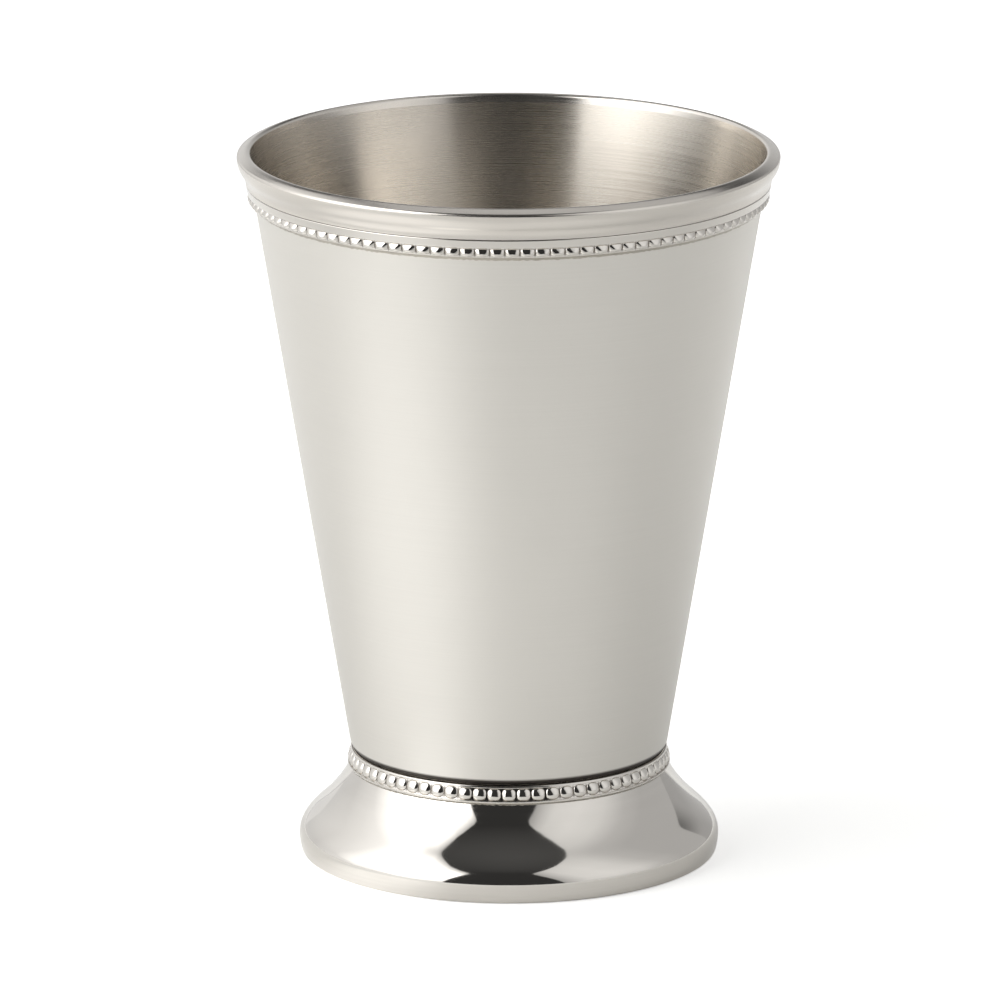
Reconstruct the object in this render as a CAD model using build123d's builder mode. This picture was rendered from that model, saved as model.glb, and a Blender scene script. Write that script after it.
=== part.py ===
from build123d import *
import math
import os

# A footed julep cup of stainless steel: a drawn conical cup with an applied rim moulding and beading,
# on a spun hollow foot with its own beading. All sizes in millimetres, +Z up, standing on Z = 0.

# Overall
cup_height = 118.3
lip_diameter = 88.9

# Cup body, drawn in one piece
wall = 0.7
floor_height = 16.9          # underside of the floor above the table
base_diameter = 51.86        # where wall and floor would meet if the corner were sharp
corner_radius = 2.5

# Rim moulding: a rounded lip above an S-shaped cove
lip_outer_roll = 1.05
lip_inner_roll = 0.6
lip_roll_sweep = 75.0        # degrees
lip_crown = 0.08             # rise of the lip's crown above the rolls
lip_hook = 1.45              # depth of the lip over the wall's top edge
cove_swell = 3.58            # convex radius under the lip
cove_hollow = 2.46           # concave radius below it
cove_sweep = 39.9            # degrees
moulding_band = 0.2          # short upright band under the cove
moulding_foot = 0.93         # thickness at the band, measured level

# Rim beading: a strip with a plain flange along its top and a row of low beads below it
rim_strip_height = 2.88
rim_strip_thickness = 0.6    # under the beads
rim_strip_seam = 0.25        # open seam between moulding and strip
rim_flange_height = 1.18
rim_flange_thickness = 0.92
rim_flange_round = 0.25      # rounding of the flange's upper edge
rim_bead_drop = 1.95         # bead centre below the strip's top edge
rim_bead_height = 1.4        # across the strip
rim_bead_length = 2.28       # along the rim
rim_bead_rise = 0.4          # above the strip
rim_bead_pitch = 2.44

# Foot, spun from sheet
foot_wall = 0.8
foot_flare = 9.4             # how far the foot stands out from its neck
neck_inset = 0.66            # neck edge inside the body's sharp corner
neck_lean = 19.9             # degrees from upright at the neck edge
bulge_radius = 3.45
bulge_height = 2.8           # height of the widest ring
skirt_radius = 9.0           # gentle curve below the widest ring
hem_radius = 0.6
hem_width = 3.2              # flat standing ring
seat_width = 6.3             # level flange under the cup's floor

# Foot beading: a collar with plain edges above and below a row of low beads
foot_strip_below = 2.3       # collar's lower edge below the seat
foot_strip_above = 0.7       # collar's upper edge above the seat
foot_strip_thickness = 0.45  # at the lower edge
collar_flare = 0.45          # upper edge stands out by this much to clear the cup's corner
collar_upper_edge = 0.4      # thickness of the upper edge
upper_edge_width = 0.38
lower_edge_width = 0.55
bead_channel = 0.28          # depth of the channel that the beads stand in
foot_bead_height = 1.96
foot_bead_length = 2.06
foot_bead_rise = 0.43        # above the channel
foot_bead_pitch = 2.42
bead_bed = 0.07              # how deep each bead is let into its strip

# Joining metal
rim_solder_leg = 0.65
foot_solder_leg = 0.4
braze_leg = 0.75

# Lip: the rolls and the crown set the widest ring below the top
roll_sin = math.sin(math.radians(lip_roll_sweep))
roll_cos = math.cos(math.radians(lip_roll_sweep))
lip_radius = lip_diameter / 2
widest_z = cup_height - lip_crown - lip_outer_roll * roll_sin

# Cove: two arcs that meet at the sweep angle and end upright at the band
cove_drop = (cove_swell + cove_hollow) * math.sin(math.radians(cove_sweep))
cove_inset = (cove_swell + cove_hollow) * (1 - math.cos(math.radians(cove_sweep)))
band_top = widest_z - cove_drop
band_radius = lip_radius - cove_inset
band_bottom = band_top - moulding_band

# Wall: a straight cone from the sharp base corner to the back of the moulding's band
base_radius = base_diameter / 2
wall_slope = (band_radius - moulding_foot - base_radius) / (band_top - floor_height)
wall_level = wall * math.hypot(1, wall_slope)
wall_lean = math.degrees(math.atan(wall_slope))
floor_top = floor_height + wall


def wall_radius(z):
    return base_radius + wall_slope * (z - floor_height)


def bore_radius(z):
    return wall_radius(z) - wall_level


# Lip section: outer roll end, crown, inner roll tangent to the bore
outer_roll_end = (lip_radius - lip_outer_roll * (1 - roll_cos), widest_z + lip_outer_roll * roll_sin)
inner_turn = math.radians(wall_lean)
inner_roll_end_z = outer_roll_end[1] - lip_inner_roll * (roll_sin - math.sin(inner_turn))
inner_roll_end = (bore_radius(inner_roll_end_z), inner_roll_end_z)
inner_roll_centre = (
    inner_roll_end[0] + lip_inner_roll * math.cos(inner_turn),
    inner_roll_end[1] - lip_inner_roll * math.sin(inner_turn),
)
inner_roll_start = (
    inner_roll_centre[0] - lip_inner_roll * roll_cos,
    inner_roll_centre[1] + lip_inner_roll * roll_sin,
)
crown_top = ((outer_roll_end[0] + inner_roll_start[0]) / 2, cup_height)
wall_top = cup_height - lip_hook

# Foot: bulge and cove are tangent arcs, and the cove passes through the neck edge at its lean
neck_radius = base_radius - neck_inset
foot_radius = neck_radius + foot_flare
lean_cos = math.cos(math.radians(neck_lean))
lean_sin = math.sin(math.radians(neck_lean))
bulge_centre = (foot_radius - bulge_radius, bulge_height)
reach_r = neck_radius - bulge_centre[0]
reach_z = floor_height - bulge_centre[1]
reach_along = reach_r * lean_cos + reach_z * lean_sin
foot_cove = (reach_r**2 + reach_z**2 - bulge_radius**2) / (2 * (bulge_radius - reach_along))
cove_centre = (neck_radius + foot_cove * lean_cos, floor_height + foot_cove * lean_sin)
bulge_sweep = math.degrees(math.atan2(cove_centre[1] - bulge_centre[1], cove_centre[0] - bulge_centre[0]))
skirt_centre = (foot_radius - skirt_radius, bulge_height)
skirt_sweep = math.degrees(math.asin((bulge_height - hem_radius) / (skirt_radius - hem_radius)))
hem_centre = (
    skirt_centre[0] + (skirt_radius - hem_radius) * math.cos(math.radians(skirt_sweep)),
    hem_radius,
)
hem_bore = hem_centre[0] - hem_width
seat_bore = neck_radius - seat_width
seat_under = floor_height - foot_wall
skirt_inner_sweep = math.degrees(math.asin((bulge_height - foot_wall) / (skirt_radius - foot_wall)))
skirt_inner_end = skirt_centre[0] + (skirt_radius - foot_wall) * math.cos(math.radians(skirt_inner_sweep))


def neck_surface(z, outset=0.0):
    return cove_centre[0] - math.sqrt((foot_cove - outset) ** 2 - (cove_centre[1] - z) ** 2)


def cove_angle(z, outset=0.0):
    return math.degrees(math.asin((cove_centre[1] - z) / (foot_cove - outset)))


os.makedirs("parts", exist_ok=True)

# Cup body: half section of the cone and floor, with rounded corner inside and out
with BuildPart() as cup_body:
    with BuildSketch(Plane.XZ):
        with BuildLine():
            Polyline(
                (0, floor_height),
                (base_radius, floor_height),
                (wall_radius(wall_top), wall_top),
                (bore_radius(wall_top), wall_top),
                (bore_radius(floor_top), floor_top),
                (0, floor_top),
                close=True,
            )
        make_face()
        outer_corner = vertices().sort_by_distance((base_radius, floor_height))[0]
        fillet(outer_corner, corner_radius)
        inner_corner = vertices().sort_by_distance((bore_radius(floor_top), floor_top))[0]
        fillet(inner_corner, corner_radius - wall)
    revolve(axis=Axis.Z)
cup_body.part.label = "cup_body"
export_step(cup_body.part, "parts/cup_body.step")

# Rim moulding: lip, cove and band, hooked over the wall's top edge
with BuildPart() as rim_moulding:
    with BuildSketch(Plane.XZ):
        with BuildLine():
            Polyline(
                inner_roll_end,
                (bore_radius(wall_top), wall_top),
                (wall_radius(wall_top), wall_top),
                (wall_radius(band_bottom), band_bottom),
                (band_radius, band_bottom),
                (band_radius, band_top),
            )
            CenterArc((band_radius + cove_hollow, band_top), cove_hollow, 180 - cove_sweep, cove_sweep)
            CenterArc((lip_radius - cove_swell, widest_z), cove_swell, -cove_sweep, cove_sweep)
            CenterArc((lip_radius - lip_outer_roll, widest_z), lip_outer_roll, 0, lip_roll_sweep)
            ThreePointArc(outer_roll_end, crown_top, inner_roll_start)
            CenterArc(inner_roll_centre, lip_inner_roll, 180 - lip_roll_sweep, lip_roll_sweep - wall_lean)
        make_face()
    revolve(axis=Axis.Z)
rim_moulding.part.label = "rim_moulding"
export_step(rim_moulding.part, "parts/rim_moulding.step")

# Rim beading: a strip bent round the wall under the moulding, with low beads raised along it
strip_top = band_bottom - rim_strip_seam
strip_bottom = strip_top - rim_strip_height
flange_bottom = strip_top - rim_flange_height
strip_level = rim_strip_thickness * math.hypot(1, wall_slope)
flange_level = rim_flange_thickness * math.hypot(1, wall_slope)
rim_bead_radius = ((rim_bead_height / 2) ** 2 + rim_bead_rise**2) / (2 * rim_bead_rise)
rim_bead_reach = rim_bead_radius * rim_bead_length / rim_bead_height
rim_face_z = strip_top - rim_bead_drop
rim_face_radius = wall_radius(rim_face_z) + strip_level
rim_bead_count = round(2 * math.pi * rim_face_radius / rim_bead_pitch)
wall_cos = math.cos(math.radians(wall_lean))
wall_sin = math.sin(math.radians(wall_lean))
rim_bead_sunk = rim_bead_radius - rim_bead_rise

with BuildPart() as rim_bead:
    bead_centre = (rim_face_radius - rim_bead_sunk * wall_cos, 0, rim_face_z + rim_bead_sunk * wall_sin)
    with BuildSketch(Plane(bead_centre, x_dir=(0, 1, 0), z_dir=(0, 0, 1))):
        with BuildLine():
            EllipticalCenterArc((0, 0), rim_bead_reach, rim_bead_radius, 0, arc_size=180)
            Line((-rim_bead_reach, 0), (rim_bead_reach, 0))
        make_face()
    revolve(axis=Axis(bead_centre, (0, 1, 0)))
    bead_back = (rim_face_radius - bead_bed * wall_cos, 0, rim_face_z + bead_bed * wall_sin)
    split(bisect_by=Plane(bead_back, x_dir=(0, 1, 0), z_dir=(wall_cos, 0, -wall_sin)))

with BuildPart() as rim_beading:
    with BuildSketch(Plane.XZ):
        with BuildLine():
            Polyline(
                (wall_radius(strip_bottom), strip_bottom),
                (wall_radius(strip_bottom) + strip_level, strip_bottom),
                (wall_radius(flange_bottom) + strip_level, flange_bottom),
                (wall_radius(flange_bottom) + flange_level, flange_bottom),
                (wall_radius(strip_top) + flange_level, strip_top),
                (wall_radius(strip_top), strip_top),
                close=True,
            )
        make_face()
        flange_corner = vertices().sort_by_distance((wall_radius(strip_top) + flange_level, strip_top))[0]
        fillet(flange_corner, rim_flange_round)
    revolve(axis=Axis.Z)
    with PolarLocations(0, rim_bead_count):
        add(rim_bead.part, clean=False)
rim_beading.part.label = "rim_beading"
export_step(rim_beading.part, "parts/rim_beading.step")

# Rim solder seam: a straight fillet in the corner between wall and strip
solder_bottom = strip_bottom - rim_solder_leg
with BuildPart() as rim_solder_seam:
    with BuildSketch(Plane.XZ):
        with BuildLine():
            Polyline(
                (wall_radius(solder_bottom), solder_bottom),
                (wall_radius(strip_bottom), strip_bottom),
                (wall_radius(strip_bottom) + strip_level, strip_bottom),
                close=True,
            )
        make_face()
    revolve(axis=Axis.Z)
rim_solder_seam.part.label = "rim_solder_seam"
export_step(rim_solder_seam.part, "parts/rim_solder_seam.step")

# Foot: flat seat under the cup's floor, cove, bulge, skirt and a hem turned in to stand on
with BuildPart() as foot:
    with BuildSketch(Plane.XZ):
        with BuildLine():
            Polyline(
                (neck_radius, floor_height),
                (seat_bore, floor_height),
                (seat_bore, seat_under),
                (neck_surface(seat_under, -foot_wall), seat_under),
            )
            CenterArc(
                cove_centre,
                foot_cove + foot_wall,
                180 + cove_angle(seat_under, -foot_wall),
                bulge_sweep - cove_angle(seat_under, -foot_wall),
            )
            CenterArc(bulge_centre, bulge_radius - foot_wall, 0, bulge_sweep)
            CenterArc(skirt_centre, skirt_radius - foot_wall, -skirt_inner_sweep, skirt_inner_sweep)
            Polyline(
                (skirt_inner_end, foot_wall),
                (hem_bore, foot_wall),
                (hem_bore, 0),
                (hem_centre[0], 0),
            )
            CenterArc(hem_centre, hem_radius, -90, 90 - skirt_sweep)
            CenterArc(skirt_centre, skirt_radius, -skirt_sweep, skirt_sweep)
            CenterArc(bulge_centre, bulge_radius, 0, bulge_sweep)
            CenterArc(cove_centre, foot_cove, 180 + neck_lean, bulge_sweep - neck_lean)
        make_face()
    revolve(axis=Axis.Z)
foot.part.label = "foot"
export_step(foot.part, "parts/foot.step")

# Foot beading: a collar on the neck, with its upper edge standing round the cup's corner
collar_top = floor_height + foot_strip_above
collar_bottom = floor_height - foot_strip_below
collar_edge = neck_surface(collar_bottom, foot_strip_thickness)
collar_brim = neck_radius + collar_flare + collar_upper_edge
collar_face = math.hypot(collar_edge - collar_brim, collar_top - collar_bottom)
face_cos = (collar_top - collar_bottom) / collar_face
face_sin = (collar_edge - collar_brim) / collar_face


def collar_point(down, depth=0.0):
    return (collar_brim + down * face_sin - depth * face_cos, collar_top - down * face_cos - depth * face_sin)


channel_end = collar_face - lower_edge_width
foot_bead_radius = ((foot_bead_height / 2) ** 2 + foot_bead_rise**2) / (2 * foot_bead_rise)
foot_bead_reach = foot_bead_radius * foot_bead_length / foot_bead_height
foot_face = collar_point((upper_edge_width + channel_end) / 2, bead_channel)
foot_bead_count = round(2 * math.pi * foot_face[0] / foot_bead_pitch)
foot_bead_sunk = foot_bead_radius - foot_bead_rise

with BuildPart() as foot_bead:
    bead_centre = (foot_face[0] - foot_bead_sunk * face_cos, 0, foot_face[1] - foot_bead_sunk * face_sin)
    with BuildSketch(Plane(bead_centre, x_dir=(0, 1, 0), z_dir=(0, 0, 1))):
        with BuildLine():
            EllipticalCenterArc((0, 0), foot_bead_reach, foot_bead_radius, 0, arc_size=180)
            Line((-foot_bead_reach, 0), (foot_bead_reach, 0))
        make_face()
    revolve(axis=Axis(bead_centre, (0, 1, 0)))
    bead_back = (foot_face[0] - bead_bed * face_cos, 0, foot_face[1] - bead_bed * face_sin)
    split(bisect_by=Plane(bead_back, x_dir=(0, 1, 0), z_dir=(face_cos, 0, face_sin)))

with BuildPart() as foot_beading:
    with BuildSketch(Plane.XZ):
        with BuildLine():
            Polyline(
                (neck_radius, floor_height),
                (neck_radius + collar_flare, collar_top),
                collar_point(0),
                collar_point(upper_edge_width),
                collar_point(upper_edge_width, bead_channel),
                collar_point(channel_end, bead_channel),
                collar_point(channel_end),
                (collar_edge, collar_bottom),
                (neck_surface(collar_bottom), collar_bottom),
            )
            CenterArc(cove_centre, foot_cove, 180 + neck_lean, cove_angle(collar_bottom) - neck_lean)
        make_face()
    revolve(axis=Axis.Z)
    with PolarLocations(0, foot_bead_count):
        add(foot_bead.part, clean=False)
foot_beading.part.label = "foot_beading"
export_step(foot_beading.part, "parts/foot_beading.step")

# Foot solder seam: a straight fillet in the corner between strip and foot
foot_solder_bottom = collar_bottom - foot_solder_leg
with BuildPart() as foot_solder_seam:
    with BuildSketch(Plane.XZ):
        with BuildLine():
            Polyline(
                (neck_surface(foot_solder_bottom), foot_solder_bottom),
                (neck_surface(collar_bottom), collar_bottom),
                (collar_edge, collar_bottom),
                close=True,
            )
        make_face()
    revolve(axis=Axis.Z)
foot_solder_seam.part.label = "foot_solder_seam"
export_step(foot_solder_seam.part, "parts/foot_solder_seam.step")

# Foot braze ring: a straight fillet inside the foot, in the corner between the cup's floor and the seat
with BuildPart() as foot_braze_ring:
    with BuildSketch(Plane.XZ):
        with BuildLine():
            Polyline(
                (seat_bore, floor_height - braze_leg),
                (seat_bore, floor_height),
                (seat_bore - braze_leg, floor_height),
                close=True,
            )
        make_face()
    revolve(axis=Axis.Z)
foot_braze_ring.part.label = "foot_braze_ring"
export_step(foot_braze_ring.part, "parts/foot_braze_ring.step")

print("beads on the rim", rim_bead_count, "on the foot", foot_bead_count)
print("foot diameter", round(2 * foot_radius, 2), "wall lean", round(wall_lean, 2))
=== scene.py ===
import math
import bmesh
import bpy
import numpy as np
from mathutils import Matrix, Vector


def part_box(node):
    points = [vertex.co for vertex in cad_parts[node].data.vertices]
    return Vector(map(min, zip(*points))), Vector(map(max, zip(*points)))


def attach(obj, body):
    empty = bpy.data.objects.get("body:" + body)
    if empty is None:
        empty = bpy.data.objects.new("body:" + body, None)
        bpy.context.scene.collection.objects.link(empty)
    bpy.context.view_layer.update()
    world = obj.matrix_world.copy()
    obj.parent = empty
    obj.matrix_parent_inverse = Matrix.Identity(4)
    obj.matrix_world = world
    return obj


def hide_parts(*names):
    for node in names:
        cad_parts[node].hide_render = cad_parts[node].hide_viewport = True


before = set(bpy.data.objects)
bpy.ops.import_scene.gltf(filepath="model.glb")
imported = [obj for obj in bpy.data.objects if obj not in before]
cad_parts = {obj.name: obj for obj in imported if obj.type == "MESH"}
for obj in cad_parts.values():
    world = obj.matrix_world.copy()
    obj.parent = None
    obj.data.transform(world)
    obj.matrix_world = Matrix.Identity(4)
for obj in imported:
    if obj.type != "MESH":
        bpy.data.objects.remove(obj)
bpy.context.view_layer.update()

scene = bpy.context.scene
mm = 0.001  # sizes below are in millimetres, meshes in metres
smoothRound, solderRound = 288, 960  # steps round the axis for smooth pieces and for uneven solder
mergeDistance = 2e-7  # points of a mesh that are closer than this, in metres, are one
rng = np.random.default_rng(7)


def nodeBox(node):
    # lowest and highest corner of a CAD node, in millimetres
    return [np.array(corner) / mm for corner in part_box(node)]


def arc(centre, radius, start, end, steps):
    # points (r, z) on a circle from one angle to another, in degrees
    turn = np.radians(np.linspace(start, end, steps + 1))
    return np.stack([centre[0] + radius * np.cos(turn), centre[1] + radius * np.sin(turn)], axis=1)


def straight(start, end, hold=0.05, most=0.3):
    # a straight run with a point held near each end, at most a given share of the way in, so that smooth shading stays
    # true along it
    start, end = np.array(start, dtype=float), np.array(end, dtype=float)
    step = (end - start) * min(hold / np.hypot(*(end - start)), most)
    return np.array([start, start + step, end - step, end])


def chain(*runs, same=1e-6):
    # runs joined end to end, each repeated point kept once
    points = np.concatenate(runs)
    apart = np.hypot(*np.diff(points, axis=0).T) > same
    return points[np.concatenate([[True], apart])]


def rounded(points, radii, steps=6, hold=0.02):
    # straight runs in the plane of r and z, with each inner corner rounded to its radius, or sharp where that is 0, and
    # a point held beside each end of a bend
    spots = [complex(*point) for point in points]
    run = [spots[:1]]
    for before, here, after, radius in zip(spots, spots[1:], spots[2:], radii):
        into, out = (here - before) / abs(here - before), (after - here) / abs(after - here)
        turn = np.angle(out / into)
        start = here - into * radius * math.tan(abs(turn) / 2)
        centre = start + 1j * into * radius * np.sign(turn)
        bend = centre + (start - centre) * np.exp(1j * np.linspace(0.0, turn, steps + 1))
        run.append([start - hold * into, *bend, bend[-1] + hold * out] if radius else [here])
    line = np.concatenate(run + [spots[-1:]])
    return np.stack([line.real, line.imag], axis=1)


def gridFaces(rows, columns, wrapRows):
    # four corners of each face on a grid that closes round its columns
    i = np.arange(rows if wrapRows else rows - 1)[:, None]
    j = np.arange(columns)[None, :]
    below, after = (i + 1) % rows, (j + 1) % columns
    corners = [i * columns + j, below * columns + j, below * columns + after, i * columns + after]
    return np.stack(corners, axis=-1).reshape(-1, 4)


def makePiece(name, verts, faces, crease=32.0, crevice=None):
    # mesh in metres, with seams and poles merged, faces outward, and corners over the crease angle kept crisp
    mesh = bpy.data.meshes.new(name)
    mesh.from_pydata(verts * mm, [], faces.tolist())
    if crevice is not None:
        mesh.attributes.new("crevice", "FLOAT", "POINT").data.foreach_set("value", crevice)
    work = bmesh.new()
    work.from_mesh(mesh)
    bmesh.ops.remove_doubles(work, verts=work.verts, dist=mergeDistance)
    bmesh.ops.recalc_face_normals(work, faces=work.faces)
    work.to_mesh(mesh)
    work.free()
    mesh.shade_smooth()
    mesh.set_sharp_from_angle(angle=math.radians(crease))
    piece = bpy.data.objects.new(name, mesh)
    scene.collection.objects.link(piece)
    return piece


def turned(name, profile, angles, closed=True, shift=None):
    # profile point (r, z) carried round the axis: x = r cos a, y = r sin a, with shift added to (r, z) where given
    a = angles[None, :]
    r, z = profile[:, :1] + 0 * a, profile[:, 1:] + 0 * a
    if shift is not None:
        r, z = r + shift[0], z + shift[1]
    verts = np.stack([r * np.cos(a), r * np.sin(a), z], axis=-1).reshape(-1, 3)
    return makePiece(name, verts, gridFaces(len(profile), len(angles), closed))


def roundSamples(count):
    # angles of even steps round the axis
    return np.linspace(0.0, 2 * math.pi, count, endpoint=False)


def assign(piece, node, slotName, *materials):
    # a finished piece gets its materials, its body and the CAD node that it replaces; the slot name is not used
    for material in materials:
        piece.data.materials.append(material)
    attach(piece, "root")
    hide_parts(node)
    print("made", piece.name, "with", len(piece.data.polygons), "faces")


def linear(hexColour):
    # sRGB hex to linear RGBA
    parts = [int(hexColour[i:i + 2], 16) / 255 for i in (1, 3, 5)]
    return [p / 12.92 if p <= 0.04045 else ((p + 0.055) / 1.055) ** 2.4 for p in parts] + [1.0]


def addNode(tree, kind, inputs=None, **settings):
    # one node with its settings, each input linked to a socket or set to a value
    node = tree.nodes.new(kind)
    for key, value in settings.items():
        setattr(node, key, value)
    for key, value in (inputs or {}).items():
        if isinstance(value, bpy.types.NodeSocket):
            tree.links.new(value, node.inputs[key])
        else:
            node.inputs[key].default_value = value
    return node


def emptyTree(owner):
    # the node tree of a material or world, cleared
    owner.use_nodes = True
    owner.node_tree.nodes.clear()
    return owner.node_tree


def ramp(tree, value, span, results, kind="LINEAR"):
    # a value that runs over a span turned into one that runs between two results, and stays there outside the span
    inputs = {0: value, 1: span[0], 2: span[1], 3: results[0], 4: results[1]}
    return addNode(tree, "ShaderNodeMapRange", inputs, interpolation_type=kind).outputs[0]


def mixColour(tree, share, first, second):
    # the first colour where the share is 0, the second where it is 1
    return addNode(tree, "ShaderNodeMix", {0: share, 6: first, 7: second}, data_type="RGBA").outputs[2]


def steelMaterial(name, look):
    # metal with fine lines round the axis: the lines run slowly over x and y and fast over r + z
    cloudShare, noiseSpan = 0.4, (0.35, 0.65)  # part of the clouds in the roughness, and where most noise lies
    quarterTurn = 0.25  # sets the long way of the blur across the lines
    material = bpy.data.materials.new(name)
    tree = emptyTree(material)
    place = addNode(tree, "ShaderNodeTexCoord").outputs["Object"]
    flat = addNode(tree, "ShaderNodeVectorMath", {0: place, 1: (1.0, 1.0, 0.0)}, operation="MULTIPLY").outputs[0]
    radius = addNode(tree, "ShaderNodeVectorMath", {0: flat}, operation="LENGTH").outputs["Value"]
    height = addNode(tree, "ShaderNodeSeparateXYZ", {0: place}).outputs["Z"]
    travel = addNode(tree, "ShaderNodeMath", {0: radius, 1: height}, operation="ADD").outputs[0]
    fast = addNode(tree, "ShaderNodeMath", {0: travel, 1: 1 / (look["across"] * mm)}, operation="MULTIPLY").outputs[0]
    lift = addNode(tree, "ShaderNodeCombineXYZ", {"Z": fast}).outputs[0]
    slow = 1 / (look["along"] * mm)
    spot = addNode(tree, "ShaderNodeVectorMath", {0: flat, 1: (slow, slow, slow), 2: lift}, operation="MULTIPLY_ADD")
    lines = addNode(tree, "ShaderNodeTexNoise", {"Vector": spot.outputs[0], "Scale": 1.0, "Detail": look["detail"]})
    cloud = addNode(tree, "ShaderNodeTexNoise", {"Vector": place, "Scale": 1 / (look["cloud"] * mm), "Detail": 2.0})
    colour = mixColour(tree, lines.outputs[0], linear(look["dark"]), linear(look["light"]))
    if "paintedShade" in look:
        # painted shade: darker below the given heights, standing in for the shadow in the groove under the body
        unshaded = ramp(tree, height, [edge * mm for edge in look["paintedShade"]], (0.0, 1.0))
        colour = mixColour(tree, unshaded, linear(look["paintedShadeColour"]), colour)
    if "crevice" in look:
        # darker between the beads
        gap = addNode(tree, "ShaderNodeAttribute", attribute_name="crevice").outputs["Fac"]
        colour = mixColour(tree, gap, colour, linear(look["crevice"]))
    both = addNode(tree, "ShaderNodeMix", {0: cloudShare, 2: lines.outputs[0], 3: cloud.outputs[0]})
    rough = ramp(tree, both.outputs[0], noiseSpan, (look["smooth"], look["rough"]))
    grain = addNode(tree, "ShaderNodeBump", {"Height": lines.outputs[0], "Distance": look["grain"] * mm})
    wave = addNode(tree, "ShaderNodeBump", {"Height": cloud.outputs[0], "Distance": look["wave"] * mm,
                                            "Normal": grain.outputs[0]})
    shader = addNode(tree, "ShaderNodeBsdfPrincipled",
                     {"Metallic": 1.0, "Base Color": colour, "Roughness": rough,
                      "Normal": wave.outputs[0], "Anisotropic": look["anisotropic"],
                      "Anisotropic Rotation": quarterTurn})
    if look["anisotropic"]:
        ring = addNode(tree, "ShaderNodeTangent", direction_type="RADIAL", axis="Z")
        tree.links.new(ring.outputs[0], shader.inputs["Tangent"])
    addNode(tree, "ShaderNodeOutputMaterial", {"Surface": shader.outputs[0]})
    return material


# satin outside: blurs the studio into one soft sweep of light and shade round the cup, with painted shade in the groove
# at its foot
satinSteel = steelMaterial("satinBrushedStainless", {
    "dark": "#d6d3cd", "light": "#dcd9d3", "smooth": 0.36, "rough": 0.42, "along": 30.0, "across": 0.22,
    "detail": 2.0, "grain": 0.0002, "wave": 0.0, "cloud": 9.0, "anisotropic": 0.0, "paintedShade": (18.4, 18.8),
    "paintedShadeColour": "#4a4643"})
# brushed inside: broken lines round the bore, with soft streaks of light down the wall
brushedSteel = steelMaterial("brushedStainlessBore", {
    "dark": "#c8c2b9", "light": "#d2ccc3", "smooth": 0.22, "rough": 0.3, "along": 45.0, "across": 0.16,
    "detail": 2.0, "grain": 0.0008, "wave": 0.0, "cloud": 12.0, "anisotropic": 0.85})
# mirror polish: sharp reflections of lights, table and dark room, a little wavy
polishedSteel = steelMaterial("mirrorPolishedStainless", {
    "dark": "#d3cfc9", "light": "#d9d5cf", "smooth": 0.05, "rough": 0.08, "along": 15.0, "across": 0.4,
    "detail": 1.0, "grain": 0.0, "wave": 0.004, "cloud": 5.0, "anisotropic": 0.0, "crevice": "#5a534c"})
# buffed rim: the same reflections as the mirror polish, but softened by fine lines round the lip
buffedSteel = steelMaterial("buffedStainless", {
    "dark": "#d0cbc4", "light": "#d8d3cc", "smooth": 0.16, "rough": 0.23, "along": 25.0, "across": 0.15,
    "detail": 2.0, "grain": 0.0006, "wave": 0.0, "cloud": 5.0, "anisotropic": 0.0})
# solder: a dull grainy line between the bright strips
silverSolder = steelMaterial("dullSilverSolder", {
    "dark": "#aca69d", "light": "#c9c4ba", "smooth": 0.3, "rough": 0.55, "along": 0.7, "across": 0.35,
    "detail": 3.0, "grain": 0.05, "wave": 0.0, "cloud": 2.0, "anisotropic": 0.0})
print("materials made")

# cup body: a cone drawn from sheet, with a rounded corner and a flat floor
cup = {"wall": 0.7, "baseRadius": 25.93, "corner": 2.5}
bodyLow, bodyHigh = nodeBox("cup_body")
floorUnder, wallTop = bodyLow[2], bodyHigh[2]
slope = (bodyHigh[0] - cup["baseRadius"]) / (wallTop - floorUnder)
lean = math.degrees(math.atan(slope))
level = math.hypot(1.0, slope)  # level thickness of a wall one unit thick
floorTop = floorUnder + cup["wall"]


def wallRadius(z):
    return cup["baseRadius"] + slope * (z - floorUnder)


def boreRadius(z):
    return wallRadius(z) - cup["wall"] * level


cornerZ = floorUnder + cup["corner"]
cornerCentre = (wallRadius(cornerZ) - cup["corner"] * level, cornerZ)
outerCorner = arc(cornerCentre, cup["corner"], -90, -lean, 14)
innerCorner = arc(cornerCentre, cup["corner"] - cup["wall"], -lean, -90, 14)
cupProfile = chain(
    straight((0, floorUnder), outerCorner[0]), outerCorner,
    straight(outerCorner[-1], (wallRadius(wallTop), wallTop)),
    straight((wallRadius(wallTop), wallTop), (boreRadius(wallTop), wallTop)),
    straight((boreRadius(wallTop), wallTop), innerCorner[0]), innerCorner,
    straight(innerCorner[-1], (0, floorTop)))
cupPiece = turned("cupBody", cupProfile, roundSamples(smoothRound), closed=False)
assign(cupPiece, "cup_body", "satin_steel", satinSteel, brushedSteel)
centres = np.empty(3 * len(cupPiece.data.polygons))
cupPiece.data.polygons.foreach_get("center", centres)
centres = centres.reshape(-1, 3) / mm
depth = wallRadius(centres[:, 2]) - np.hypot(centres[:, 0], centres[:, 1])
halfWall = 0.5 * cup["wall"]
inside = (depth > halfWall) & (centres[:, 2] > floorUnder + halfWall)  # faces of the bore, which is brushed
cupPiece.data.polygons.foreach_set("material_index", inside.astype(np.int32))

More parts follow.
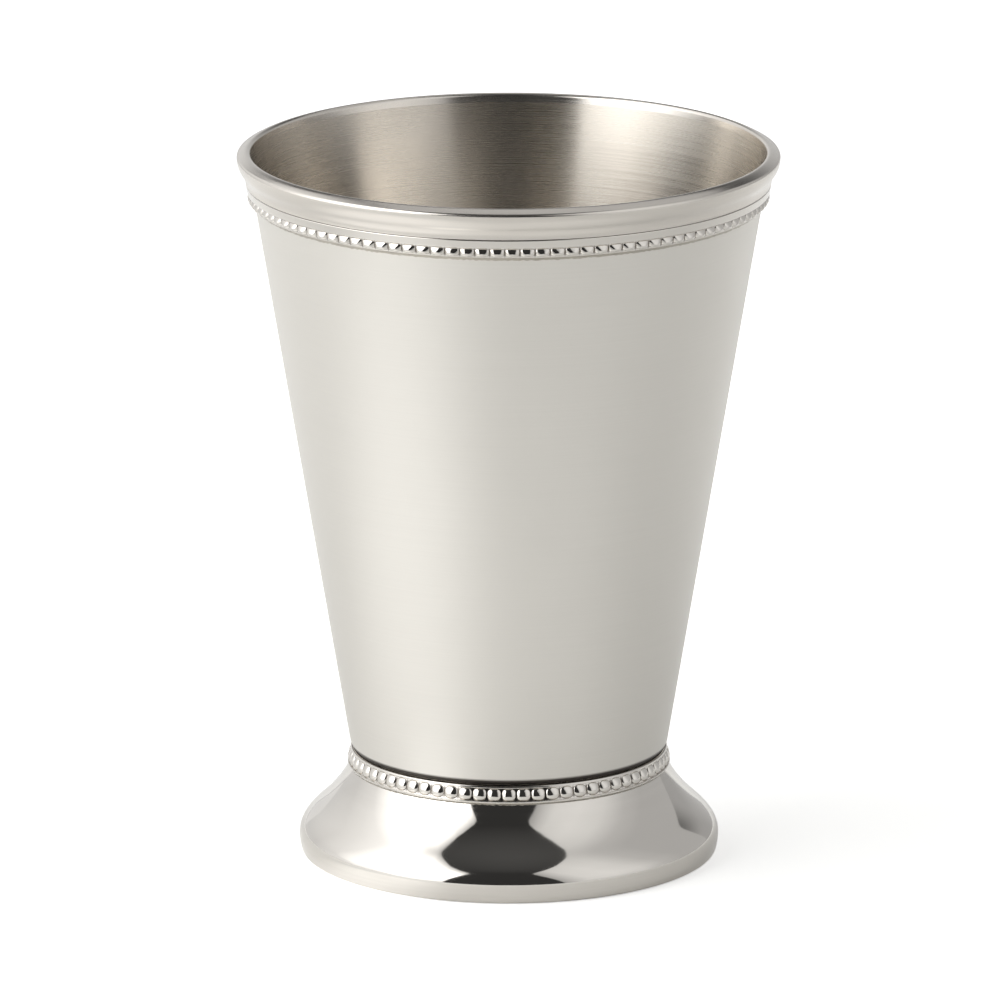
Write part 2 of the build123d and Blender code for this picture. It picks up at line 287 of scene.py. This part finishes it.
# rim moulding: a rounded lip over an S-shaped cove, hooked over the wall's top edge
lip = {"widestDrop": 1.094, "outerRoll": 0.52, "outerSweep": 62.0, "innerRoll": 0.6, "innerSweep": 75.0,
       "crownDrop": 0.08, "crownPulls": (0.95, 0.35), "swell": 3.58, "hollow": 2.46, "coveSweep": 39.9, "edge": 0.1}
lipLow, lipHigh = nodeBox("rim_moulding")
lipRadius = min(-lipLow[0], -lipLow[1], lipHigh[0], lipHigh[1])
lipTop, bandBottom = lipHigh[2], lipLow[2]
widestZ = lipTop - lip["widestDrop"]
sweepSin, sweepCos = math.sin(math.radians(lip["coveSweep"])), math.cos(math.radians(lip["coveSweep"]))
bandTop = widestZ - (lip["swell"] + lip["hollow"]) * sweepSin
bandRadius = lipRadius - (lip["swell"] + lip["hollow"]) * (1 - sweepCos)
outerRoll = arc((lipRadius - lip["outerRoll"], widestZ), lip["outerRoll"], 0, lip["outerSweep"], 18)
innerZ = lipTop - lip["crownDrop"] - lip["innerRoll"] * math.sin(math.radians(lip["innerSweep"]))
innerR = boreRadius(innerZ + lip["innerRoll"] * slope / level) + lip["innerRoll"] / level
innerRoll = arc((innerR, innerZ), lip["innerRoll"], 180 - lip["innerSweep"], 180 - lean, 16)
# crown: a cubic that leaves the outer roll along its tangent, climbs inwards and meets the inner roll along its own
leave, meet = math.radians(lip["outerSweep"]), math.radians(lip["innerSweep"])
crownPulls = [outerRoll[-1], outerRoll[-1] + lip["crownPulls"][0] * np.array([-math.sin(leave), math.cos(leave)]),
              innerRoll[0] + lip["crownPulls"][1] * np.array([math.sin(meet), math.cos(meet)]), innerRoll[0]]
share = np.linspace(0.0, 1.0, 19)[:, None]
crown = sum(k * (1 - share) ** (3 - i) * share ** i * crownPulls[i] for i, k in enumerate((1, 3, 3, 1)))
bandEdge = arc((bandRadius - lip["edge"], bandBottom + lip["edge"]), lip["edge"], -90, 0, 5)
lipProfile = chain(
    straight(innerRoll[-1], (boreRadius(wallTop), wallTop)),
    straight((boreRadius(wallTop), wallTop), (wallRadius(wallTop), wallTop)),
    straight((wallRadius(wallTop), wallTop), (wallRadius(bandBottom), bandBottom)),
    straight((wallRadius(bandBottom), bandBottom), bandEdge[0]), bandEdge,
    straight(bandEdge[-1], (bandRadius, bandTop)),
    arc((bandRadius + lip["hollow"], bandTop), lip["hollow"], 180, 180 - lip["coveSweep"], 14),
    arc((lipRadius - lip["swell"], widestZ), lip["swell"], -lip["coveSweep"], 0, 14),
    outerRoll, crown, innerRoll[:-1])
assign(turned("rimMoulding", lipProfile, roundSamples(smoothRound)), "rim_moulding", "polished_steel", buffedSteel)


def beadedStrip(name, low, high, band, bead):
    # a channel from low to high is cut into one cell for each bead, and lines in a cell run from its border over the
    # bead's foot, a superellipse, to its crest; height over the channel is rise (1 - q q)^plump (1 - lean s), where q
    # is the share of the way from crest to foot and s the place across the bead, so that it is fuller below
    lines, rings, plump = 32, 11, 0.7
    low, high = np.array(low), np.array(high)
    wide = np.hypot(*(high - low))
    rising = (high - low) / wide
    outward = np.array([rising[1], -rising[0]])
    middle = low + rising * bead["up"]
    turn = np.radians(45 + 360 / lines * np.arange(lines))
    ahead, across = np.cos(turn), np.sin(turn)
    reach = np.maximum(np.abs(ahead), np.abs(across))
    borderT = ahead / reach * math.pi * middle[0] / bead["count"]
    borderS = across / reach * np.where(across > 0, wide - bead["up"], bead["up"])
    outline = (np.abs(ahead) ** bead["square"] + np.abs(across) ** bead["square"]) ** (-1 / bead["square"])
    q = np.sin(np.linspace(math.pi / 2, 0.0, rings))[:, None]
    share = outline * across * q
    dome = bead["rise"] * (1 - q ** 2) ** plump * (1 - bead["lean"] * share)
    t = np.concatenate([borderT[None, :], bead["length"] / 2 * outline * ahead * q])
    s = np.concatenate([borderS[None, :], bead["height"] / 2 * share])
    h = np.concatenate([0 * borderS[None, :], dome])
    r = middle[0] + rising[0] * s + outward[0] * h
    z = middle[1] + rising[1] * s + outward[1] * h
    a = roundSamples(bead["count"])[:, None, None] + (t / middle[0])[None]
    cells = np.stack([r * np.cos(a), r * np.sin(a), z + 0 * a], axis=-1)
    starts = np.arange(bead["count"]) * t.size
    faces = (gridFaces(*t.shape, False)[None] + starts[:, None, None]).reshape(-1, 4)
    # the rest of the strip, carried round on the same angles as the borders of the cells
    a = (roundSamples(bead["count"])[:, None] + np.sort(borderT[:lines // 4])[None, :] / middle[0]).reshape(1, -1)
    rest = np.stack([band[:, :1] * np.cos(a), band[:, :1] * np.sin(a), band[:, 1:] + 0 * a], axis=-1)
    restFaces = gridFaces(len(band), a.size, False) + cells.size // 3
    verts = np.concatenate([cells.reshape(-1, 3), rest.reshape(-1, 3)])
    # crevice: 1 half-way up the gap between two beads, 0 above and below it and on the beads
    fade = np.array([1.0, 0.8, 0.35])[:, None]  # on the border and the bead's two lowest rings
    gap = np.zeros(t.shape)
    gap[:len(fade)] = fade * (1 - (np.abs(across) / reach) ** 4)
    crevice = np.concatenate([np.tile(gap.ravel(), bead["count"]), np.zeros(rest.size // 3)])
    return makePiece(name, verts, np.concatenate([faces, restFaces]), crease=40.0, crevice=crevice)


# rim beading: a strip round the wall, with a plain flange over a row of low beads
rimStrip = {"seam": 0.08, "flange": 1.35, "flangeThickness": 0.92, "thickness": 0.48, "beadDrop": 2.14,
            "flangeRounds": (0.12, 0.12)}
rimBeads = {"count": 109, "length": 2.36, "height": 1.5, "rise": 0.52, "square": 3.2, "lean": 0.5}
stripLow, stripTop = nodeBox("rim_beading")[0][2], bandBottom - rimStrip["seam"]
flangeLow = stripTop - rimStrip["flange"]
stripLevel, flangeLevel = rimStrip["thickness"] * level, rimStrip["flangeThickness"] * level
lowEdge = (wallRadius(stripLow) + stripLevel, stripLow)
flangeRoot = (wallRadius(flangeLow) + stripLevel, flangeLow)
rimBand = rounded([flangeRoot, (wallRadius(flangeLow) + flangeLevel, flangeLow),
                   (wallRadius(stripTop) + flangeLevel, stripTop), (wallRadius(stripTop), stripTop),
                   (wallRadius(stripLow), stripLow), lowEdge], [*rimStrip["flangeRounds"], 0, 0])
rimBeads["up"] = (stripTop - rimStrip["beadDrop"] - stripLow) * level
assign(beadedStrip("rimBeading", lowEdge, flangeRoot, rimBand, rimBeads), "rim_beading", "polished_steel",
       polishedSteel)


def uneven(angles, waves, size, sines=14):
    # a run of solder: sines of whole turns with random phases, about size high
    counts = rng.integers(waves[0], waves[1], sines)
    phases = rng.uniform(0, 2 * math.pi, sines)
    return size / math.sqrt(sines / 2) * np.sin(counts[:, None] * angles[None, :] + phases[:, None]).sum(0)


# all solder: how hollow its face is, waves round the cup in its lumps and in its lower edge, the size of the latter's,
# and the part of a lump that reaches the upper edge
solder = {"hollow": 0.15, "lumpWaves": (60, 420), "creepWaves": (40, 300), "creep": 1.5, "upperLumps": 0.4}


def solderRun(name, corner, outer, lower, wallLean, roughness):
    # a fillet with a hollow face and an uneven lower edge that stays on the wall it wets
    angles = roundSamples(solderRound)
    corner, outer, lower = np.array(corner), np.array(outer), np.array(lower)
    face = (outer + lower) / 2
    profile = np.array([corner, outer, face + solder["hollow"] * (corner - face), lower])
    lumps = uneven(angles, solder["lumpWaves"], roughness)
    creep = uneven(angles, solder["creepWaves"], roughness * solder["creep"])
    none = 0 * angles
    dr = np.stack([none, np.minimum(none, lumps * solder["upperLumps"]), lumps, wallLean * creep])
    dz = np.stack([none, none, none, creep])
    return turned(name, profile, angles, shift=(dr, dz))


# rim solder seam: the rough line under the strip
rimSolder = {"roughness": 0.03, "margin": 0.1}
solderLow = nodeBox("rim_solder_seam")[0][2] + rimSolder["margin"]
assign(solderRun("rimSolderSeam", (wallRadius(stripLow), stripLow), lowEdge,
                 (wallRadius(solderLow), solderLow), slope, rimSolder["roughness"]),
       "rim_solder_seam", "silver_solder", silverSolder)

# foot: spun from sheet, with a seat at the top, a cove, a bulge and a hem turned in to stand on
foot = {"wall": 0.8, "neckRadius": 25.27, "neckLean": 19.9, "bulge": 3.45, "bulgeZ": 2.8, "skirt": 9.0, "hem": 0.6,
        "hemWidth": 3.2, "seatWidth": 6.3, "coveTurn": 26.0, "steepest": 49.0, "shoulder": 16.0, "shoulderTurn": 38.0,
        "blend": 0.7, "rings": 90}
footLow, footHigh = nodeBox("foot")
footRadius = min(-footLow[0], -footLow[1], footHigh[0], footHigh[1])
seatTop = footHigh[2]
neckCos, neckSin = math.cos(math.radians(foot["neckLean"])), math.sin(math.radians(foot["neckLean"]))
bulgeCentre = (footRadius - foot["bulge"], foot["bulgeZ"])
reachR, reachZ = foot["neckRadius"] - bulgeCentre[0], seatTop - bulgeCentre[1]
coveRadius = (reachR ** 2 + reachZ ** 2 - foot["bulge"] ** 2) / (
    2 * (foot["bulge"] - reachR * neckCos - reachZ * neckSin))
coveCentre = (foot["neckRadius"] + coveRadius * neckCos, seatTop + coveRadius * neckSin)
bulgeSweep = math.degrees(math.atan2(coveCentre[1] - bulgeCentre[1], coveCentre[0] - bulgeCentre[0]))


def neckSurface(z, outset=0.0):
    return coveCentre[0] - math.sqrt((coveRadius - outset) ** 2 - (coveCentre[1] - z) ** 2)


skirtCentre = (footRadius - foot["skirt"], foot["bulgeZ"])
skirtSweep = math.degrees(math.asin((foot["bulgeZ"] - foot["hem"]) / (foot["skirt"] - foot["hem"])))
skirtInner = foot["skirt"] - foot["wall"]
skirtInnerSweep = math.degrees(math.asin((foot["bulgeZ"] - foot["wall"]) / skirtInner))
hemR = skirtCentre[0] + (foot["skirt"] - foot["hem"]) * math.cos(math.radians(skirtSweep))
hemBore = hemR - foot["hemWidth"]
seatBore = foot["neckRadius"] - foot["seatWidth"]
seatUnder = seatTop - foot["wall"]
coveInner = coveRadius + foot["wall"]
coveInnerStart = 180 + math.degrees(math.asin((coveCentre[1] - seatUnder) / coveInner))
innerSkirt = arc(skirtCentre, skirtInner, 0, -skirtInnerSweep, 8)
# the outside is four arcs, its cove and bulge each turning faster towards the edge: their two free radii are solved
# so that the run ends at the widest ring
turns = [math.radians(foot[key]) for key in ("neckLean", "coveTurn", "steepest", "shoulderTurn")]
cosN, cosC, cosS, cosE = np.cos(turns)
sinN, sinC, sinS, sinE = np.sin(turns)
lowerCove, edgeBulge = np.linalg.solve(
    [[cosC - cosS, 1 - cosE], [sinS - sinC, sinE]],
    [footRadius - foot["neckRadius"] - coveRadius * (cosN - cosC) - foot["shoulder"] * (cosE - cosS),
     seatTop - foot["bulgeZ"] - coveRadius * (sinC - sinN) - foot["shoulder"] * (sinS - sinE)])
turnPoint = np.array(coveCentre) - coveRadius * np.array([cosC, sinC])
lowerCentre = turnPoint + lowerCove * np.array([cosC, sinC])
shoulderCentre = lowerCentre - (lowerCove + foot["shoulder"]) * np.array([cosS, sinS])
footOutside = chain(
    arc((footRadius - edgeBulge, foot["bulgeZ"]), edgeBulge, 0, foot["shoulderTurn"], 20),
    arc(shoulderCentre, foot["shoulder"], foot["shoulderTurn"], foot["steepest"], 10),
    arc(lowerCentre, lowerCove, 180 + foot["steepest"], 180 + foot["coveTurn"], 24),
    arc(coveCentre, coveRadius, 180 + foot["coveTurn"], 180 + foot["neckLean"], 10))


def eased(run, blend, keep, fine=40, bellReach=3):
    # the same run with its turn blurred over the given length, so that the arcs melt into each other: even steps along
    # it, the direction of each step smoothed by a bell curve, and the small miss at the end shared out along the way
    travel = np.concatenate([[0.0], np.cumsum(np.hypot(*np.diff(run, axis=0).T))])
    even = np.linspace(0.0, travel[-1], fine * keep + 1)
    steps = np.diff(np.stack([np.interp(even, travel, run[:, i]) for i in range(2)], axis=1), axis=0)
    size = even[1]
    reach = int(bellReach * blend / size)
    bell = np.exp(-0.5 * (np.arange(-reach, reach + 1) * size / blend) ** 2)
    turn = np.pad(np.unwrap(np.arctan2(steps[:, 1], steps[:, 0])), reach, mode="reflect", reflect_type="odd")
    turn = np.convolve(turn, bell / bell.sum(), mode="valid")
    steps = size * np.stack([np.cos(turn), np.sin(turn)], axis=1)
    smooth = run[0] + np.concatenate([[[0.0, 0.0]], np.cumsum(steps, axis=0)])
    smooth += (even / even[-1])[:, None] * (run[-1] - smooth[-1])
    return smooth[::fine]


footOutside = eased(footOutside, foot["blend"], foot["rings"])
footProfile = chain(
    straight((foot["neckRadius"], seatTop), (seatBore, seatTop)),
    straight((seatBore, seatTop), (seatBore, seatUnder)),
    straight((seatBore, seatUnder), (neckSurface(seatUnder, -foot["wall"]), seatUnder)),
    arc(coveCentre, coveInner, coveInnerStart, 180 + bulgeSweep, 18),
    arc(bulgeCentre, foot["bulge"] - foot["wall"], bulgeSweep, 0, 16), innerSkirt,
    straight(innerSkirt[-1], (hemBore, foot["wall"])),
    straight((hemBore, foot["wall"]), (hemBore, 0)), straight((hemBore, 0), (hemR, 0)),
    arc((hemR, foot["hem"]), foot["hem"], -90, -skirtSweep, 16),
    arc(skirtCentre, foot["skirt"], -skirtSweep, 0, 12),
    footOutside[:-1])
assign(turned("foot", footProfile, roundSamples(smoothRound)), "foot", "polished_steel", polishedSteel)

# foot beading: a collar round the neck, with rolled edges above and below its beads
collar = {"thickness": 0.45, "flare": 0.45, "upperThickness": 0.4, "upperWidth": 0.38, "lowerWidth": 0.55,
          "channel": 0.28, "upperRounds": (0.1, 0.16, 0.1), "lowerRounds": (0.38, 0.1)}
footBeads = {"count": 68, "length": 2.28, "height": 2.1, "rise": 0.43, "square": 2.6, "lean": 0.25}
collarLow, collarHigh = nodeBox("foot_beading")
collarBottom, collarTop = collarLow[2], collarHigh[2]
collarEdge = (neckSurface(collarBottom, collar["thickness"]), collarBottom)
collarInner = (foot["neckRadius"] + collar["flare"], collarTop)
collarBrim = collarInner[0] + collar["upperThickness"]
collarFace = math.hypot(collarEdge[0] - collarBrim, collarTop - collarBottom)
faceCos, faceSin = (collarTop - collarBottom) / collarFace, (collarEdge[0] - collarBrim) / collarFace


def collarPoint(down, depth=0.0):
    return (collarBrim + down * faceSin - depth * faceCos, collarTop - down * faceCos - depth * faceSin)


channelLow = collarFace - collar["lowerWidth"]
upperRoot = collarPoint(collar["upperWidth"], collar["channel"])
lowerRoot = collarPoint(channelLow, collar["channel"])
neckRun = [(neckSurface(z), z) for z in np.linspace(seatTop, collarBottom, 7)]
collarBand = rounded([upperRoot, collarPoint(collar["upperWidth"]), collarPoint(0), collarInner, *neckRun, collarEdge,
                      collarPoint(channelLow), lowerRoot],
                     [*collar["upperRounds"], *[0] * len(neckRun), *collar["lowerRounds"]])
footBeads["up"] = (channelLow - collar["upperWidth"]) / 2
assign(beadedStrip("footBeading", lowerRoot, upperRoot, collarBand, footBeads), "foot_beading", "polished_steel",
       polishedSteel)

# foot solder seam: a finer line under that strip
footSolder = {"roughness": 0.02, "margin": 0.22, "inset": 0.3}
footSolderLow = nodeBox("foot_solder_seam")[0][2] + footSolder["margin"]
footSolderOuter = (collarEdge[0] - footSolder["inset"], collarBottom)
neckFall = (neckSurface(footSolderLow) - neckSurface(collarBottom)) / (footSolderLow - collarBottom)
assign(solderRun("footSolderSeam", (neckSurface(collarBottom), collarBottom), footSolderOuter,
                 (neckSurface(footSolderLow), footSolderLow), neckFall, footSolder["roughness"]),
       "foot_solder_seam", "silver_solder", silverSolder)

# foot braze ring: the joint inside the foot, between the cup's floor and the seat
braze = {"roughness": 0.03, "margin": 0.1}
brazeLow = nodeBox("foot_braze_ring")[0][2]
brazeLeg = seatTop - brazeLow - braze["margin"]
assign(solderRun("footBrazeRing", (seatBore, seatTop), (seatBore - brazeLeg, seatTop), (seatBore, seatTop - brazeLeg),
                 0.0, braze["roughness"]),
       "foot_braze_ring", "silver_solder", silverSolder)

# floor: fading towards the viewer, with pools of light before the panels; places in metres, the rest radiances
table = {"half": 4.0, "drop": 0.00005, "paper": "#f2f2f0", "fade": (-0.04, 0.25), "glow": (0.05, 0.38), "seen": 0.4}
# each pool: its centre, the two distances it fades between, and radiance
pools = [((-0.12, -0.085, 0.0), 0.03, 0.145, 0.46), ((-0.032, -0.032, 0.0), 0.006, 0.024, 0.45),
         ((0.06, -0.12, 0.0), 0.03, 0.11, 0.11)]
white = linear("#ffffff")
scene.view_settings.view_transform = "Standard"
floorMesh = bpy.data.meshes.new("floor")
half = table["half"]
floorMesh.from_pydata([(-half, -half, 0), (half, -half, 0), (half, half, 0), (-half, half, 0)], [], [(0, 1, 2, 3)])
floor = bpy.data.objects.new("floor", floorMesh)
floor.location.z = -table["drop"]  # clear of the standing ring
scene.collection.objects.link(floor)
paper = bpy.data.materials.new("whitePaper")  # a table with a painted glow and painted pools of light, brighter still for the camera, so that it reads as white
tree = emptyTree(paper)
diffuse = addNode(tree, "ShaderNodeBsdfDiffuse", {"Color": linear(table["paper"])})
spotOnFloor = addNode(tree, "ShaderNodeTexCoord").outputs["Object"]
depthOnFloor = addNode(tree, "ShaderNodeSeparateXYZ", {0: spotOnFloor}).outputs["Y"]
bright = ramp(tree, depthOnFloor, table["fade"], table["glow"])
for centre, near, far, radiance in pools:
    away = addNode(tree, "ShaderNodeVectorMath", {0: spotOnFloor, 1: centre}, operation="DISTANCE").outputs["Value"]
    pool = ramp(tree, away, (near, far), (radiance, 0.0), "SMOOTHSTEP")
    bright = addNode(tree, "ShaderNodeMath", {0: bright, 1: pool}, operation="ADD").outputs[0]
direct = addNode(tree, "ShaderNodeLightPath").outputs["Is Camera Ray"]
bright = addNode(tree, "ShaderNodeMath", {0: direct, 1: table["seen"], 2: bright}, operation="MULTIPLY_ADD").outputs[0]
glow = addNode(tree, "ShaderNodeEmission", {"Color": white, "Strength": bright})
litPaper = addNode(tree, "ShaderNodeAddShader", {0: diffuse.outputs[0], 1: glow.outputs[0]})
addNode(tree, "ShaderNodeOutputMaterial", {"Surface": litPaper.outputs[0]})
floorMesh.materials.append(paper)

softPanel = bpy.data.materials.new("softPanel")  # lit cloth, brighter towards its middle
tree = emptyTree(softPanel)
glow = addNode(tree, "ShaderNodeAttribute", attribute_name="glow")
cloth = addNode(tree, "ShaderNodeEmission", {"Color": white, "Strength": glow.outputs["Fac"]})
addNode(tree, "ShaderNodeOutputMaterial", {"Surface": cloth.outputs[0]})


def panel(name, columns, corner, bottom, middle, top):
    # a light panel of upright columns, each a low end, a high end and a radiance, in metres; its front upper corner is
    # rounded, and its radiance is held under a limit at the table and has the given shares halfway up and at the top
    rows = (0.0, 0.08, 0.55, 1.0)  # shares of the height where the radiance is set
    low, high, radiance = (np.array([column[i] for column in columns], dtype=float) for i in range(3))
    back = np.array([0.0, 0.03, 0.12, 0.27, 0.5, 1.0])  # shares of the corner's radius
    step = (back * corner / np.linalg.norm(low[1] - low[0]))[:, None]
    cut = 1 - corner / high[0, 2] * (1 - np.sqrt(1 - (1 - back[:, None]) ** 2))
    frontLow, frontHigh = low[0] + step * (low[1] - low[0]), high[0] + step * (high[1] - high[0])
    low = np.concatenate([frontLow, low[1:]])
    high = np.concatenate([frontLow + cut * (frontHigh - frontLow), high[1:]])
    radiance = np.concatenate([radiance[0] + step[:, 0] * (radiance[1] - radiance[0]), radiance[1:]])
    count = len(low)
    i = np.arange(count - 1)
    faces = np.stack([i, i + 1, count + i + 1, count + i], axis=1)
    mesh = bpy.data.meshes.new(name)
    mesh.from_pydata(np.concatenate([low + row * (high - low) for row in rows]), [],
                     np.concatenate([faces + count * k for k in range(len(rows) - 1)]).tolist())
    glowing = np.concatenate([np.minimum(radiance, bottom), radiance, middle * radiance, top * radiance])
    mesh.attributes.new("glow", "FLOAT", "POINT").data.foreach_set("value", glowing)
    mesh.materials.append(softPanel)
    lamp = bpy.data.objects.new(name, mesh)
    lamp.visible_camera = False
    scene.collection.objects.link(lamp)


panel("leftPanel", [((-0.6, -0.84, 0), (-0.519, -1.087, 1.42), 1.7), ((-0.6, -0.59, 0), (-0.526, -0.79, 1.26), 2.1),
                    ((-0.6, -0.32, 0), (-0.526, -0.45, 1.18), 2.7), ((-0.6, 0.0, 0), (-0.526, -0.05, 1.25), 1.8),
                    ((-0.6, 0.2, 0), (-0.5, 0.18, 1.5), 1.05), ((-0.6, 0.5, 0), (-0.5, 0.5, 1.6), 0.85),
                    ((-0.5, 0.95, 0), (-0.45, 0.95, 1.4), 0.8)], corner=0.24, bottom=1.25, middle=1.5, top=0.3)
panel("rightPanel", [((0.5, -0.866, 0), (0.298, -1.119, 1.42), 0.5), ((0.5, -0.5, 0), (0.37, -0.7, 1.25), 0.95),
                     ((0.5, -0.28, 0), (0.41, -0.42, 1.18), 1.0), ((0.5, -0.12, 0), (0.44, -0.2, 1.2), 0.9),
                     ((0.5, 0.02, 0), (0.46, -0.04, 1.33), 0.66), ((0.5, 0.15, 0), (0.48, 0.1, 1.42), 0.57),
                     ((0.5, 0.5, 0), (0.5, 0.5, 1.6), 0.56)], corner=0.24, bottom=0.8, middle=1.0, top=0.9)
softBox = {"size": (1.2, 1.0), "energy": 2.2, "place": (0.2, 0.8, 1.3)}  # overhead, behind the cup
topLamp = bpy.data.lights.new("topLamp", "AREA")
topLamp.shape, topLamp.energy = "RECTANGLE", softBox["energy"]
topLamp.size, topLamp.size_y = softBox["size"]
lamp = bpy.data.objects.new("topLamp", topLamp)
lamp.location = softBox["place"]
lamp.visible_camera = False
scene.collection.objects.link(lamp)

# world: white behind for the camera, and for reflections a dark room in front and overhead, pale behind; across,
# behind, low and overhead are spans of a direction's x, y, z and z, and wall and ceiling are radiances
room = {"across": (-0.5, 0.5), "behind": (-0.1, 0.35), "low": (0.2, 0.6), "overhead": (0.8, 1.0),
        "wall": (0.95, 0.42), "ceiling": (0.04, 0.095)}
world = bpy.data.worlds.new("studio")
scene.world = world
tree = emptyTree(world)
toward = addNode(tree, "ShaderNodeSeparateXYZ", {0: addNode(tree, "ShaderNodeTexCoord").outputs["Generated"]}).outputs
side = ramp(tree, toward["X"], room["across"], room["wall"])
behind = ramp(tree, toward["Y"], room["behind"], (0.0, 1.0), "SMOOTHSTEP")
low = ramp(tree, toward["Z"], room["low"], (1.0, 0.0), "SMOOTHSTEP")
wall = addNode(tree, "ShaderNodeMath", {0: side, 1: behind}, operation="MULTIPLY").outputs[0]
ceiling = ramp(tree, toward["Z"], room["overhead"], room["ceiling"])
reflected = addNode(tree, "ShaderNodeMath", {0: wall, 1: low, 2: ceiling}, operation="MULTIPLY_ADD").outputs[0]
seen = addNode(tree, "ShaderNodeLightPath").outputs["Is Camera Ray"]
strength = addNode(tree, "ShaderNodeMix", {0: seen, 2: reflected, 3: 1.0})
sky = addNode(tree, "ShaderNodeBackground", {"Color": white, "Strength": strength.outputs[0]})
addNode(tree, "ShaderNodeOutputWorld", {"Surface": sky.outputs[0]})

# camera at the photo's angle, far off with a long lens
view = {"place": (0.0, -1.9006, 0.5509), "down": 14.5063, "yaw": 0.0433, "roll": -0.04, "lens": 429.6, "sensor": 36.0,
        "clip": (0.05, 50.0)}
cameraData = bpy.data.cameras.new("camera")
cameraData.lens = view["lens"]
cameraData.sensor_width = view["sensor"]
cameraData.clip_start, cameraData.clip_end = view["clip"]
camera = bpy.data.objects.new("camera", cameraData)
camera.matrix_world = (Matrix.Translation(view["place"]) @ Matrix.Rotation(math.radians(view["yaw"]), 4, "Z")
                       @ Matrix.Rotation(math.radians(90 - view["down"]), 4, "X")
                       @ Matrix.Rotation(math.radians(view["roll"]), 4, "Z"))
scene.collection.objects.link(camera)
scene.camera = camera
print("stage, lights and camera made")
